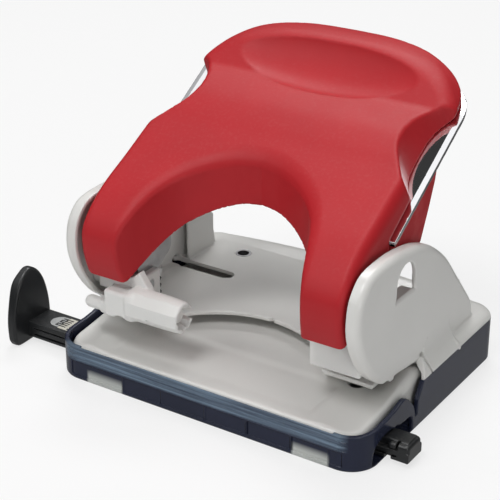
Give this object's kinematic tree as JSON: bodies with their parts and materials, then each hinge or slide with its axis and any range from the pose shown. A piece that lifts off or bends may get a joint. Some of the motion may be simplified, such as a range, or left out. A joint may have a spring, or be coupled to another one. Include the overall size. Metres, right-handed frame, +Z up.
{
  "type": "two-hole desk punch",
  "caption": "Lever-handled two-hole desk punch with arched grip cover, flanged steel cheeks, smoked chip tray and pull-out paper guide with a stop fin.",
  "frame": {"origin": "on the plane the tray rests on, midway between the two punch pins", "axes": "+X to the user's right along the row of holes, +Y to the rear, away from the sheet's edge side, +Z up"},
  "size_m": [0.1502, 0.0946, 0.1041],
  "materials": {
    "red_cover": "fine-grained satin plastic",
    "grey_paint": "glossy warm light grey enamel",
    "white_moulding": "satin moulded plastic",
    "smoke_tray": "smoked dark blue plastic",
    "black_plastic": "satin black plastic",
    "chrome": "polished",
    "steel": "zinc-plated",
    "black_steel": "blackened spring wire"
  },
  "bodies": {
    "base": {"table_plate": "grey_paint", "left_die": "steel", "right_die": "steel", "left_paper_stop": "steel", "right_paper_stop": "steel", "rear_spacer": "steel", "rear_eyelets": "steel", "frame": "grey_paint", "left_guide_bush": "white_moulding", "right_guide_bush": "white_moulding", "left_return_spring": "black_steel", "right_return_spring": "black_steel", "left_bearing_block": "white_moulding", "right_bearing_block": "white_moulding", "left_pivot_pin": "steel", "right_pivot_pin": "steel", "tray_hinge_rod": "steel"},
    "tray": {"chip_tray": "smoke_tray", "guide_leaf_spring": "steel"},
    "guide": {"guide_bar": "black_plastic", "stop_fin": "black_plastic"},
    "handle": {"left_lever_bracket": "steel", "right_lever_bracket": "steel", "left_press_bar": "steel", "right_press_bar": "steel", "lever_rivets": "steel", "lever_plate": "chrome", "handle_cover": "red_cover", "left_side_apron": "red_cover", "right_side_apron": "red_cover"},
    "left_punch": {"left_punch_pin": "chrome", "left_pin_ring": "chrome"},
    "right_punch": {"right_punch_pin": "chrome", "right_pin_ring": "chrome"},
    "lock": {"lock_slider": "white_moulding"}
  },
  "joints": [
    {"name": "handle_hinge", "type": "hinge", "parent": "base", "child": "handle", "pos_m": [0, -0.0105, 0.0315], "axis": [-1, 0, 0], "range_deg": [0, 30], "stiffness_Nm_per_rad": 1.5, "springref_deg": -17.19},
    {"name": "left_pin_slide", "type": "slide", "parent": "base", "child": "left_punch", "axis": [0, 0, -1], "range_m": [0, 0.00659], "deforming": ["left_return_spring"]},
    {"name": "right_pin_slide", "type": "slide", "parent": "base", "child": "right_punch", "axis": [0, 0, -1], "range_m": [0, 0.00659], "deforming": ["right_return_spring"]},
    {"name": "tray_hinge", "type": "hinge", "parent": "base", "child": "tray", "pos_m": [0, 0.0613, 0.0125], "axis": [1, 0, 0], "range_deg": [0, 75]},
    {"name": "guide_slide", "type": "slide", "parent": "tray", "child": "guide", "axis": [-1, 0, 0], "range_m": [0, 0.073]},
    {"name": "lock_slide", "type": "slide", "parent": "base", "child": "lock", "axis": [1, 0, 0], "range_m": [0, 0.005]}
  ],
  "couplings": [
    {"joint": "left_pin_slide", "follows": "handle_hinge", "m_per_rad": 0.012585},
    {"joint": "right_pin_slide", "follows": "handle_hinge", "m_per_rad": 0.012585}
  ]
}
